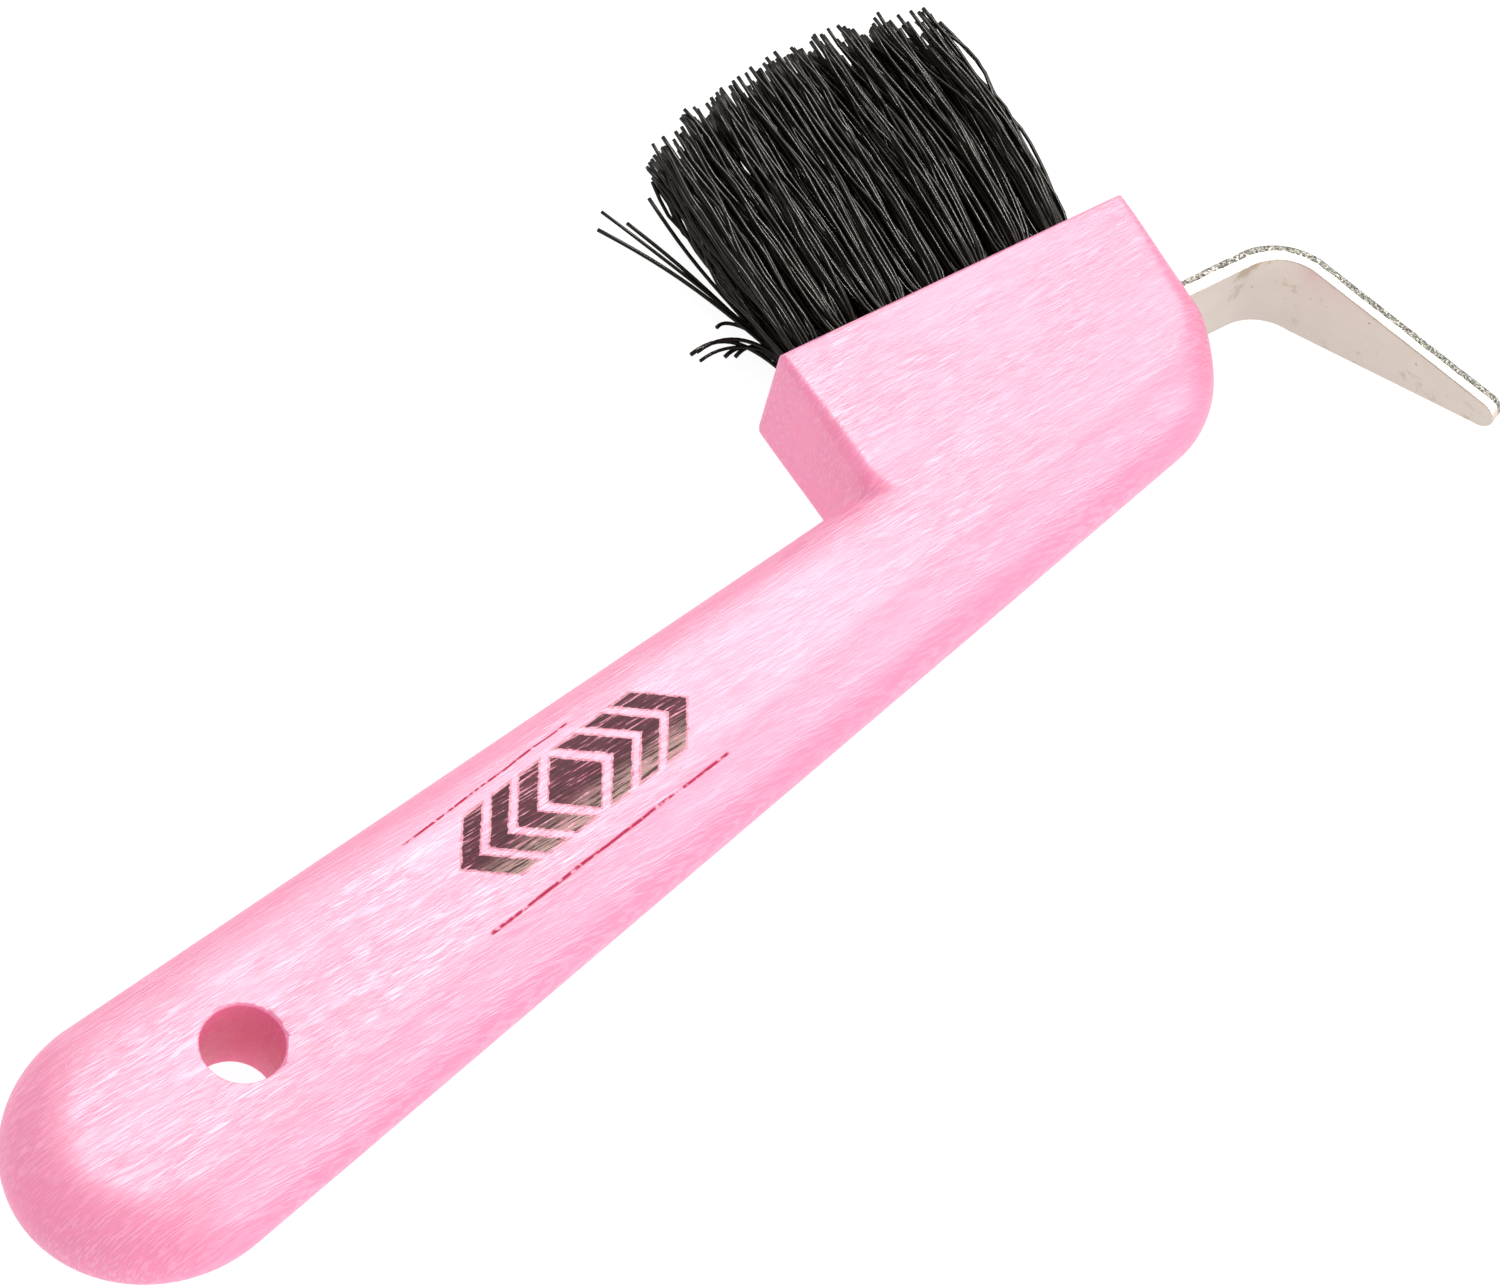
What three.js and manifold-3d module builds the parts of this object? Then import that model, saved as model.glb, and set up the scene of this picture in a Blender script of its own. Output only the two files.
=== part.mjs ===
// A hoof pick with a cleaning brush: a moulded plastic handle, a bent steel pick whose tang is
// moulded into the handle's head, and a block brush of bristle tufts, each folded over a staple
// at the bottom of a drilled hole. Millimetres. The pick lies on its side: +X runs along the
// handle from the butt to the pick, +Y points the way the bristles do, and +Z is the thickness.

import * as THREE from 'three';
import { mergeVertices } from 'three/addons/utils/BufferGeometryUtils.js';
import Module from 'manifold-3d';

const wasm = await Module();
wasm.setup();

// ---- Driving dimensions ----

const THICKNESS = 14.4; // of the head
const THINNING = 0.0168; // each side face closes in by this much per millimetre toward the butt
const THINNING_START = 118; // the head keeps its full thickness up to here
const GAP = 0.3; // clearance between touching pieces

const BUTT_HALF_WIDTH = 13.9;
const BUTT_LENGTH = 15.3; // from the butt end to the widest point
const TAPER = 0.046; // each long edge closes in by this much per millimetre
const EDGE_ROUNDING = 7; // the handle's long edges are almost fully rounded

const HANG_HOLE_X = 26;
const HANG_HOLE_Y = 0.5;
const HANG_HOLE_RADIUS = 4.1;

const HEAD_CORNER = new THREE.Vector2(121.3, 24.8); // where the facet meets the brush face
const HEAD_LENGTH = 44.4; // along the brush face
const HEAD_SLOPE = THREE.MathUtils.degToRad(-10);
const HEAD_EDGE = 1; // rounding of the head's crisp edges
const HEAD_CORE = 6; // how far the rounded core stays below the brush face
const FACET_REACH = 23; // from the brush face down into the handle
const FACET_LEAN = 0.05; // toward the butt, per millimetre below the brush face
const END_RADIUS = 11.9; // between the head's end face and the spine

const TUFTS_IN_ROWS = [6, 7]; // the rows are staggered by half a pitch
const TUFT_PITCH = 5.4;
const ROW_PITCH = 6.2;
const BRUSH_MIDDLE = 20.8; // from the head corner along the brush face
const TUFT_HOLE_RADIUS = 2.2;
const TUFT_HOLE_DEPTH = 8;
const BRISTLE_LENGTH = 33.2; // free length of the longest tufts, in the middle
const DOME = 3.4; // how much shorter the end tufts are
const TIP_RADIUS = 2.5;
const BRUSH_LEAN = 0.078; // toward the pick, per millimetre of height
const ROW_FAN = 0.02; // how far each row leans outward

const STAPLE = { length: 4, height: 1.2, thickness: 0.45 };
const STAPLE_DEPTH = 6.9; // from the brush face to the staple's middle
const STAPLE_TURN = Math.PI / 4; // staples lie diagonally, so that the walls don't split

const BLADE_THICKNESS = 2;
const BLADE_WIDTH = 11.2;
const TIP_WIDTH = 3.8;
const BEND_CENTRE = new THREE.Vector2(169.4, -3.5);
const BEND_RADIUS = 5.9; // inner face
const BEND_ANGLE = THREE.MathUtils.degToRad(68);
const LEG_LENGTH = 24.2; // from the bend to the pick's tip
const TANG_LENGTH = 36; // from the bend to the tang's buried end
const TANG_HOLE_RADIUS = 2.6;
const TANG_HOLE_X = -27; // along the tang from the bend

// ---- Materials ----

const plastic = new THREE.MeshStandardMaterial({ color: 0xf7b9d7, roughness: 0.45, metalness: 0 });
const steel = new THREE.MeshStandardMaterial({ color: 0xd8cdc2, roughness: 0.3, metalness: 1 });
const bristle = new THREE.MeshStandardMaterial({ color: 0x16120f, roughness: 0.35, metalness: 0 });
const wire = new THREE.MeshStandardMaterial({ color: 0xb9b4a8, roughness: 0.4, metalness: 1 });

// ---- Solids: joining and cutting ----

function toSolid(geometry, matrix = new THREE.Matrix4()) {
  const bare = geometry.clone().applyMatrix4(matrix);
  bare.deleteAttribute('normal');
  bare.deleteAttribute('uv');
  const merged = mergeVertices(bare, 1e-4);
  const mesh = new wasm.Mesh({
    numProp: 3,
    vertProperties: new Float32Array(merged.attributes.position.array),
    triVerts: new Uint32Array(merged.index.array),
  });
  return new wasm.Manifold(mesh);
}

function toGeometry(solid) {
  const mesh = solid.getMesh();
  const geometry = new THREE.BufferGeometry();
  geometry.setAttribute('position', new THREE.BufferAttribute(mesh.vertProperties, 3));
  geometry.setIndex(new THREE.BufferAttribute(mesh.triVerts, 1));
  geometry.computeVertexNormals();
  return geometry;
}

function namedMesh(name, geometry, material) {
  const mesh = new THREE.Mesh(geometry, material);
  mesh.name = name;
  return mesh;
}

// An outline in XY, extruded through the thickness with its edges rounded by `rounding`.
function roundedPlate(shape, thickness, rounding, segments) {
  const geometry = new THREE.ExtrudeGeometry(shape, {
    depth: thickness - 2 * rounding,
    bevelEnabled: rounding > 0,
    bevelThickness: rounding,
    bevelSize: rounding,
    bevelOffset: -rounding,
    bevelSegments: segments,
    curveSegments: 12,
  });
  return geometry.translate(0, 0, rounding - thickness / 2);
}

// A cylinder whose axis is +Y, standing on y = 0.
function uprightCylinder(radius, height, sides) {
  return new THREE.CylinderGeometry(radius, radius, height, sides).translate(0, height / 2, 0);
}

// ---- Frames of the head and the blade ----

const headFrame = new THREE.Matrix4()
  .makeTranslation(HEAD_CORNER.x, HEAD_CORNER.y, 0)
  .multiply(new THREE.Matrix4().makeRotationZ(HEAD_SLOPE));
const bladeFrame = new THREE.Matrix4()
  .makeTranslation(BEND_CENTRE.x, BEND_CENTRE.y, 0)
  .multiply(new THREE.Matrix4().makeRotationZ(HEAD_SLOPE));

// A point given along the brush face and above it, in the handle's XY plane.
function onHead(along, above) {
  const point = new THREE.Vector3(along, above, 0).applyMatrix4(headFrame);
  return new THREE.Vector2(point.x, point.y);
}

function edgeHalfWidth(x) {
  return BUTT_HALF_WIDTH - TAPER * (x - BUTT_LENGTH);
}

// ---- Handle ----

// The corner between the end face and the spine, and the tangent points of its rounding.
function endCorner() {
  const top = onHead(HEAD_LENGTH, 0);
  const down = onHead(HEAD_LENGTH, -1).sub(top);
  const spineDirection = new THREE.Vector2(1, TAPER).normalize();
  const reach = (-edgeHalfWidth(top.x) - top.y) / (down.y - TAPER * down.x);
  const corner = top.clone().addScaledVector(down, reach);
  const opening = Math.acos(-spineDirection.dot(down.clone().negate()));
  const setback = END_RADIUS / Math.tan(opening / 2);
  const onSpine = corner.clone().addScaledVector(spineDirection, -setback);
  const onEnd = corner.clone().addScaledVector(down, -setback);
  const inward = new THREE.Vector2(-spineDirection.y, spineDirection.x);
  const centre = onSpine.clone().addScaledVector(inward, END_RADIUS);
  return { onSpine, onEnd, centre };
}

// The rounded core: butt, both long edges, the end corner, and a stub up into the head.
function coreShape() {
  const { onSpine, onEnd, centre } = endCorner();
  const start = onSpine.clone().sub(centre).angle();
  const end = onEnd.clone().sub(centre).angle();
  const neckX = HEAD_CORNER.x + 6;
  const shape = new THREE.Shape();
  shape.moveTo(neckX, edgeHalfWidth(neckX));
  shape.lineTo(THINNING_START, edgeHalfWidth(THINNING_START));
  shape.lineTo(BUTT_LENGTH, BUTT_HALF_WIDTH);
  shape.absellipse(BUTT_LENGTH, 0, BUTT_LENGTH, BUTT_HALF_WIDTH, Math.PI / 2, 1.5 * Math.PI, false);
  shape.lineTo(THINNING_START, -edgeHalfWidth(THINNING_START));
  shape.lineTo(onSpine.x, onSpine.y);
  shape.absarc(centre.x, centre.y, END_RADIUS, start, end, false);
  for (const along of [HEAD_LENGTH, 8]) {
    const point = onHead(along, -HEAD_CORE);
    shape.lineTo(point.x, point.y);
  }
  return shape;
}

// The crisp head block, which runs down into the core's flat middle.
function headShape() {
  const { onEnd } = endCorner();
  const foot = onHead(-FACET_LEAN * FACET_REACH, -FACET_REACH);
  const shape = new THREE.Shape();
  const corner = onHead(0, 0);
  shape.moveTo(corner.x, corner.y);
  shape.lineTo(foot.x, foot.y);
  shape.lineTo(onEnd.x - 12, foot.y + 0.5);
  shape.lineTo(onEnd.x, onEnd.y);
  const top = onHead(HEAD_LENGTH, 0);
  shape.lineTo(top.x, top.y);
  return shape;
}

// Each tuft's number, its place on the brush face, and how far it is from the middle, -1 to 1.
function tuftPlaces() {
  const places = [];
  const reach = ((Math.max(...TUFTS_IN_ROWS) - 1) / 2) * TUFT_PITCH;
  TUFTS_IN_ROWS.forEach((count, row) => {
    const side = row - (TUFTS_IN_ROWS.length - 1) / 2;
    for (let column = 0; column < count; column += 1) {
      const fromMiddle = (column - (count - 1) / 2) * TUFT_PITCH;
      places.push({
        number: `${row + 1}_${column + 1}`,
        x: BRUSH_MIDDLE + fromMiddle,
        z: side * ROW_PITCH,
        share: fromMiddle / reach,
        side,
      });
    }
  });
  return places;
}

function stapleBox(clearance) {
  const { length, height, thickness } = STAPLE;
  const grow = 2 * clearance;
  const box = new THREE.BoxGeometry(length + grow, height + grow, thickness + grow);
  return box.rotateY(STAPLE_TURN).translate(0, -STAPLE_DEPTH, 0);
}

// The cavity that the moulding leaves round the tang, with the post that fills the tang's hole.
function tangCavity() {
  const height = BLADE_THICKNESS + 2 * GAP;
  const length = TANG_LENGTH + GAP;
  const box = new THREE.BoxGeometry(length, height, BLADE_WIDTH + 2 * GAP);
  box.translate(-length / 2, BEND_RADIUS + BLADE_THICKNESS / 2, 0);
  const post = uprightCylinder(TANG_HOLE_RADIUS - GAP, 20, 16).translate(TANG_HOLE_X, 0, 0);
  return toSolid(box, bladeFrame).subtract(toSolid(post, bladeFrame));
}

// The handle is thinner toward the butt: both side faces slope in evenly from the head's foot.
function thinTowardButt(geometry) {
  const position = geometry.attributes.position;
  for (let i = 0; i < position.count; i += 1) {
    const before = Math.max(THINNING_START - position.getX(i), 0);
    const share = 1 - (THINNING * before) / (THICKNESS / 2);
    position.setZ(i, position.getZ(i) * share);
  }
  return geometry;
}

function makeHandle() {
  const core = toSolid(thinTowardButt(roundedPlate(coreShape(), THICKNESS, EDGE_ROUNDING, 6)));
  const head = toSolid(thinTowardButt(roundedPlate(headShape(), THICKNESS, HEAD_EDGE, 2)));
  const hole = new THREE.CylinderGeometry(HANG_HOLE_RADIUS, HANG_HOLE_RADIUS, 2 * THICKNESS, 28);
  hole.rotateX(Math.PI / 2).translate(HANG_HOLE_X, HANG_HOLE_Y, 0);
  let solid = core.add(head).subtract(toSolid(hole)).subtract(tangCavity());
  const tuftHole = uprightCylinder(TUFT_HOLE_RADIUS, 2 * TUFT_HOLE_DEPTH, 12);
  tuftHole.translate(0, -TUFT_HOLE_DEPTH, 0);
  const cutter = toSolid(tuftHole).add(toSolid(stapleBox(GAP)));
  for (const { x, z } of tuftPlaces()) {
    const place = headFrame.clone().multiply(new THREE.Matrix4().makeTranslation(x, 0, z));
    solid = solid.subtract(cutter.transform(place.elements));
  }
  return namedMesh('handle', toGeometry(solid), plastic);
}

// ---- Blade ----

// Side view: the tang, the bend round the origin, and the tapered leg.
function bladeSideShape() {
  const outer = BEND_RADIUS + BLADE_THICKNESS;
  const shape = new THREE.Shape();
  shape.moveTo(-TANG_LENGTH, BEND_RADIUS);
  shape.lineTo(0, BEND_RADIUS);
  shape.absarc(0, 0, BEND_RADIUS, Math.PI / 2, Math.PI / 2 - BEND_ANGLE, true);
  const out = new THREE.Vector2(Math.sin(BEND_ANGLE), Math.cos(BEND_ANGLE));
  const along = new THREE.Vector2(Math.cos(BEND_ANGLE), -Math.sin(BEND_ANGLE));
  for (const radius of [BEND_RADIUS, outer]) {
    const tip = out.clone().multiplyScalar(radius).addScaledVector(along, LEG_LENGTH);
    shape.lineTo(tip.x, tip.y);
  }
  shape.absarc(0, 0, outer, Math.PI / 2 - BEND_ANGLE, Math.PI / 2, false);
  shape.lineTo(-TANG_LENGTH, outer);
  return shape;
}

// The leg seen square on, at its place beyond the bend: it tapers to a round tip.
function legTaper() {
  const reach = 45;
  const slope = (BLADE_WIDTH - TIP_WIDTH) / 2 / (LEG_LENGTH - TIP_WIDTH / 2);
  const wide = BLADE_WIDTH / 2 + slope * reach;
  const shape = new THREE.Shape();
  shape.moveTo(-reach, -wide);
  shape.lineTo(LEG_LENGTH - TIP_WIDTH / 2, -TIP_WIDTH / 2);
  shape.absarc(LEG_LENGTH - TIP_WIDTH / 2, 0, TIP_WIDTH / 2, -Math.PI / 2, Math.PI / 2, false);
  shape.lineTo(-reach, wide);
  const depth = 80;
  const geometry = new THREE.ExtrudeGeometry(shape, { depth, bevelEnabled: false });
  return geometry.translate(0, 0, -depth / 2).rotateX(-Math.PI / 2).rotateZ(-BEND_ANGLE);
}

function makeBlade() {
  const strip = new THREE.ExtrudeGeometry(bladeSideShape(), {
    depth: BLADE_WIDTH,
    bevelEnabled: false,
    curveSegments: 12,
  });
  strip.translate(0, 0, -BLADE_WIDTH / 2);
  const hole = uprightCylinder(TANG_HOLE_RADIUS, 20, 16).translate(TANG_HOLE_X, 0, 0);
  const solid = toSolid(strip).intersect(toSolid(legTaper())).subtract(toSolid(hole));
  const mesh = namedMesh('hoof_pick_blade', toGeometry(solid), steel);
  mesh.position.set(BEND_CENTRE.x, BEND_CENTRE.y, 0);
  mesh.rotation.z = HEAD_SLOPE;
  return mesh;
}

// ---- Brush ----

// One tuft: a straight root in its hole, then a bundle that spreads and leans. The bristle ends
// make a low dome along the brush.
function makeTuft({ number, x, z, share, side }) {
  const root = TUFT_HOLE_RADIUS - GAP;
  const length = BRISTLE_LENGTH - DOME * share * share;
  const profile = [
    [0, GAP - TUFT_HOLE_DEPTH],
    [root, GAP - TUFT_HOLE_DEPTH],
    [root, 0.5],
    [TIP_RADIUS * 0.95, length * 0.5],
    [TIP_RADIUS, length - 1],
    [TIP_RADIUS * 0.6, length - 0.2],
    [0, length],
  ].map(([radius, y]) => new THREE.Vector2(radius, y));
  const geometry = new THREE.LatheGeometry(profile, 10);
  const position = geometry.attributes.position;
  const leanZ = ROW_FAN * side;
  for (let i = 0; i < position.count; i += 1) {
    const height = Math.max(position.getY(i) - 0.5, 0);
    position.setX(i, position.getX(i) + BRUSH_LEAN * height);
    position.setZ(i, position.getZ(i) + leanZ * height);
  }
  const solid = toSolid(geometry).subtract(toSolid(stapleBox(GAP)));
  const mesh = namedMesh(`tuft_${number}`, toGeometry(solid), bristle);
  mesh.position.set(x, 0, z);
  return mesh;
}

function makeStaple({ number, x, z }) {
  const mesh = namedMesh(`staple_${number}`, stapleBox(0), wire);
  mesh.position.set(x, 0, z);
  return mesh;
}

function makeBrush() {
  const brush = new THREE.Group();
  brush.position.set(HEAD_CORNER.x, HEAD_CORNER.y, 0);
  brush.rotation.z = HEAD_SLOPE;
  for (const place of tuftPlaces()) {
    brush.add(makeTuft(place), makeStaple(place));
  }
  return brush;
}

// ---- Assembly: the origin is the middle of the foot of the bounding box ----

const assembly = new THREE.Group();
assembly.add(makeHandle(), makeBlade(), makeBrush());
assembly.updateMatrixWorld(true);
const box = new THREE.Box3().setFromObject(assembly, true);
assembly.position.set(-(box.min.x + box.max.x) / 2, -(box.min.y + box.max.y) / 2, -box.min.z);

const hoofPick = new THREE.Group();
hoofPick.add(assembly);
export default hoofPick;
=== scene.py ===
"""A pink hoof pick with a bent steel blade and a black block brush, lying on a pale floor.

The CAD model is loaded as a fixed frame. The moulded handle, the blade and the 13 bristle tufts
are replaced by finer meshes of the same size. The staples keep their CAD shapes.
Shapes are worked out in millimetres in the handle's own frame: x from the butt along the handle,
y toward the bristles and z from the middle of the thickness. `to_row` puts them in the frame.
"""

import math

import bpy
import numpy as np
from mathutils import Euler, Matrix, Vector


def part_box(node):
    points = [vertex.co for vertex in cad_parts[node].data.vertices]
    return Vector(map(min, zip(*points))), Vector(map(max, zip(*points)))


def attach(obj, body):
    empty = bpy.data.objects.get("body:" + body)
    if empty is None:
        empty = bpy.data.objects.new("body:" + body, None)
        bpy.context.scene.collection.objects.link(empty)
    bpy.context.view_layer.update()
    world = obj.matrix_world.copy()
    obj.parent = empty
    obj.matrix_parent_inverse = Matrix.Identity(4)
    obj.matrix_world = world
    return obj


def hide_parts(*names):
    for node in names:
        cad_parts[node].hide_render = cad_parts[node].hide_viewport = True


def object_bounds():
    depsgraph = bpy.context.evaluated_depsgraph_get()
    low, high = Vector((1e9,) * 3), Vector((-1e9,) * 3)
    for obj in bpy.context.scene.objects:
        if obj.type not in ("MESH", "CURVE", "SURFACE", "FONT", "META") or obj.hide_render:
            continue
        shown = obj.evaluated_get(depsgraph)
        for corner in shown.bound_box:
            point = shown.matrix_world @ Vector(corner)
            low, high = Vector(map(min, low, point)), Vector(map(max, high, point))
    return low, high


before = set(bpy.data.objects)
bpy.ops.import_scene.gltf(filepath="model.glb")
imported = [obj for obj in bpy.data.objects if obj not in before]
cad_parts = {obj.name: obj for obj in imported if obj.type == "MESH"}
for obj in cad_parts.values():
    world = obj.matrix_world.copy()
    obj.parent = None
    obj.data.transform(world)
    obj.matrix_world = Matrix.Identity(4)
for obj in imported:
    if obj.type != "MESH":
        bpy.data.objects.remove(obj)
cad_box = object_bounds()

MM = 0.001

# Handle and head, as in the CAD model
HALF_THICKNESS = 7.2
THINNING = 0.0168
THINNING_START = 118.0
BUTT_HALF_WIDTH = 13.9
BUTT_LENGTH = 15.3
TAPER = 0.046
EDGE_ROUNDING = 7.0
HANG_HOLE = (26.0, 0.5)
HANG_HOLE_RADIUS = 4.1
HEAD_CORNER = np.array([121.3, 24.8])
HEAD_LENGTH = 44.4
HEAD_SLOPE = math.radians(-10)
HEAD_CORE = 6.0
FACET_REACH = 23.0
FACET_LEAN = 0.05
END_RADIUS = 11.9

# The handle's finer surface: mesh size, edges of the head, its blend into the core, rim of the hole
SQUARE = 0.4
CRISP_EDGE = 0.8
SOFTENING = 1.4
CORE_BLEND = 1.6
HEAD_SINKING = 1.5
HOLE_RIM = 0.2

# Brush
TUFTS_IN_ROWS = (6, 7)
TUFT_PITCH = 5.4
ROW_PITCH = 6.2
BRUSH_MIDDLE = 20.8
TUFT_HOLE_RADIUS = 2.2
TUFT_HOLE_DEPTH = 8.0
BRISTLE_LENGTH = 33.2
DOME = 3.4
BRUSH_LEAN = 0.078
FILAMENTS = 58
TUFT_RADIUS = 1.9
FILAMENT_RADII = (0.205, 0.255)
BURIED = (-6.0, -0.6)
WAVES = ((1.0, 0.6), (2.1, 0.36), (3.9, 0.12))  # turns along a bristle, and size
END_LIFT = 0.5
UNEVENNESS = 0.9
SHORT_SHARE = 0.07
ASTRAY_SHARE = 0.15
ASTRAY_SPREAD = 1.9
STRAYING_OUT = 1.4
STRAYING_IN = 1.2
SIDE_MARGIN = 0.35
LONG_STRAYS = ((-6.9, 29.5, -0.6), (-8.2, 27.8, -0.8), (-5.0, 27.0, -0.3), (-1.2, 28.6, -0.2))
BENT_STRAYS = ((-8.0, 9.5), (-8.3, 8.7), (-4.2, 7.6), (-4.4, 11.4), (-7.6, 9.9), (-5.2, 8.2))

# Blade
BLADE_THICKNESS = 2.0
BLADE_WIDTH = 11.2
TIP_WIDTH = 3.8
BEND_CENTRE = np.array([169.4, -3.5])
BEND_RADIUS = 5.9
BEND_ANGLE = math.radians(68)
LEG_LENGTH = 24.2
TANG_LENGTH = 36.0
BLADE_EDGE = 0.25
SEAT_GAP = 0.05

# Print: bars by their distance from its middle; each line's extent in x and in y, and its softness
PRINT_MIDDLE = (70.0, 1.2)
PRINT_HALF_HEIGHT = 4.0
PRINT_BARS = ((-1.0, 3.6), (5.2, 7.7), (9.1, 11.4), (12.8, 15.2))
PRINT_LINES = (((52.3, 74.2), (6.66, 6.9), 0.08), ((52.2, 84.2), (-6.02, -5.68), 0.1))
PRINT_FRINGE = 0.3

# Camera: degrees, a point in the handle's frame, metres and a lens in millimetres
CAMERA_TURN = (32.4, -9.5, -44.45)
CAMERA_AIM = (98.5, 4.1, -0.2)
CAMERA_DISTANCE = 0.6056
CAMERA_LENS = 144.6
LIGHT_COLOUR = (1, 0.985, 0.94)

handle_low, handle_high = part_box("handle")
ROW_ORIGIN = np.array([
    handle_low[0],
    handle_low[1] + BUTT_HALF_WIDTH * MM,
    (handle_low[2] + handle_high[2]) / 2,
])
BRUSH_TOP = (cad_box[1][1] - ROW_ORIGIN[1]) / MM


def to_row(points):
    """Millimetres in the handle's frame to metres in the row's frame."""
    return np.asarray(points, float) * MM + ROW_ORIGIN


def smooth_step(low, high, value):
    t = np.clip((value - low) / (high - low), 0, 1)
    return t * t * (3 - 2 * t)


# ---- Meshes and pieces ----

def mesh_object(name, points, faces, smooth=True):
    mesh = bpy.data.meshes.new(name)
    mesh.from_pydata([tuple(p) for p in points], [], faces)
    mesh.update()
    mesh.polygons.foreach_set("use_smooth", [smooth] * len(mesh.polygons))
    piece = bpy.data.objects.new(name, mesh)
    bpy.context.scene.collection.objects.link(piece)
    return piece


def baked(piece):
    """The piece's mesh with its modifiers applied."""
    graph = bpy.context.evaluated_depsgraph_get()
    mesh = bpy.data.meshes.new_from_object(piece.evaluated_get(graph))
    piece.modifiers.clear()
    old = piece.data
    piece.data = mesh
    bpy.data.meshes.remove(old)
    mesh.name = piece.name


def cut(piece, cutter):
    modifier = piece.modifiers.new("cut", "BOOLEAN")
    modifier.operation = "DIFFERENCE"
    modifier.solver = "MANIFOLD"
    modifier.object = cutter
    baked(piece)
    mesh = cutter.data
    bpy.data.objects.remove(cutter)
    bpy.data.meshes.remove(mesh)


def lathe(name, profile, sides, place=lambda points: points):
    """A closed solid turned about z from (radius, z) pairs whose ends lie on the axis."""
    points = []
    rings = []
    for radius, z in profile:
        if radius < 1e-6:
            rings.append([len(points)])
            points.append((0, 0, z))
            continue
        rings.append(list(range(len(points), len(points) + sides)))
        for i in range(sides):
            turn = 2 * math.pi * i / sides
            points.append((radius * math.cos(turn), radius * math.sin(turn), z))
    faces = []
    for low, high in zip(rings, rings[1:]):
        for i in range(sides):
            j = (i + 1) % sides
            if len(low) == 1:
                faces.append((low[0], high[j], high[i]))
            elif len(high) == 1:
                faces.append((low[i], low[j], high[0]))
            else:
                faces.append((low[i], low[j], high[j], high[i]))
    return mesh_object(name, place(np.array(points)), faces)


# ---- Handle: outlines ----

def on_head(along, above):
    """A point given along the brush face and above it, in the handle's frame."""
    u = np.array([math.cos(HEAD_SLOPE), math.sin(HEAD_SLOPE)])
    v = np.array([-u[1], u[0]])
    return HEAD_CORNER + along * u + above * v


def edge_half_width(x):
    return BUTT_HALF_WIDTH - TAPER * (x - BUTT_LENGTH)


def arc(centre, radii, start, end, steps):
    turn = np.linspace(start, end, steps + 1)
    return np.stack([centre[0] + radii[0] * np.cos(turn), centre[1] + radii[1] * np.sin(turn)], 1)


def end_corner():
    """The rounding between the head's end face and the spine, as points from spine to face."""
    top = on_head(HEAD_LENGTH, 0)
    down = on_head(HEAD_LENGTH, -1) - top
    spine = np.array([1, TAPER]) / math.hypot(1, TAPER)
    reach = (-edge_half_width(top[0]) - top[1]) / (down[1] - TAPER * down[0])
    corner = top + reach * down
    opening = math.acos(np.dot(spine, down))
    setback = END_RADIUS / math.tan(opening / 2)
    centre = corner - spine * setback + END_RADIUS * np.array([-spine[1], spine[0]])
    first = corner - spine * setback - centre
    last = corner - down * setback - centre
    start = math.atan2(first[1], first[0])
    end = math.atan2(last[1], last[0])
    return arc(centre, (END_RADIUS, END_RADIUS), start, end, 24)


def butt_arc():
    return arc((BUTT_LENGTH, 0), (BUTT_LENGTH, BUTT_HALF_WIDTH), math.pi / 2, 1.5 * math.pi, 48)


def core_outline():
    neck = HEAD_CORNER[0] + 6
    return np.concatenate([
        [(neck, edge_half_width(neck))],
        butt_arc(),
        end_corner(),
        [on_head(HEAD_LENGTH, -HEAD_CORE), on_head(8, -HEAD_CORE)],
    ])


def head_outline():
    foot = on_head(-FACET_LEAN * FACET_REACH, -FACET_REACH)
    return np.concatenate([
        [on_head(0, 0), foot, (foot[0], -edge_half_width(foot[0]))],
        end_corner(),
        [on_head(HEAD_LENGTH, 0)],
    ])


def silhouette():
    """The whole handle's outline: the butt, the spine, the head, and the facet down to the neck."""
    top = on_head(0, 0)
    down = on_head(-FACET_LEAN, -1) - top
    reach = (edge_half_width(top[0]) - top[1]) / (down[1] + TAPER * down[0])
    neck = top + reach * down
    return np.concatenate([butt_arc(), end_corner(), [on_head(HEAD_LENGTH, 0), top, neck]])


# ---- Handle: surface ----

def polygon_distance(points, polygon):
    """Signed distance from 2-D points to a closed polygon, negative inside."""
    distances = []
    start = polygon
    end = np.roll(polygon, -1, axis=0)
    edge = end - start
    length2 = (edge ** 2).sum(1)
    for chunk in np.array_split(points, max(1, len(points) // 20000)):
        offset = chunk[:, None, :] - start[None]
        share = np.clip((offset * edge).sum(2) / length2, 0, 1)
        nearest = ((offset - share[..., None] * edge) ** 2).sum(2).min(1)
        above = chunk[:, None, 1] >= start[None, :, 1]
        below_next = chunk[:, None, 1] < end[None, :, 1]
        side = edge[:, 0] * offset[..., 1] - edge[:, 1] * offset[..., 0]
        crossings = (above & below_next & (side > 0)).sum(1) - (~above & ~below_next & (side < 0)).sum(1)
        distances.append(np.where(crossings != 0, -1, 1) * np.sqrt(nearest))
    return np.concatenate(distances)


def rounded_plate(outline_distance, z, rounding):
    across = outline_distance + rounding
    through = np.abs(z) - (HALF_THICKNESS - rounding)
    outside = np.hypot(np.maximum(across, 0), np.maximum(through, 0))
    return outside + np.minimum(np.maximum(across, through), 0) - rounding


def smooth_union(a, b, reach):
    h = np.clip(reach - np.abs(a - b), 0, None) / reach
    return np.minimum(a, b) - h * h * reach / 4


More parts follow.
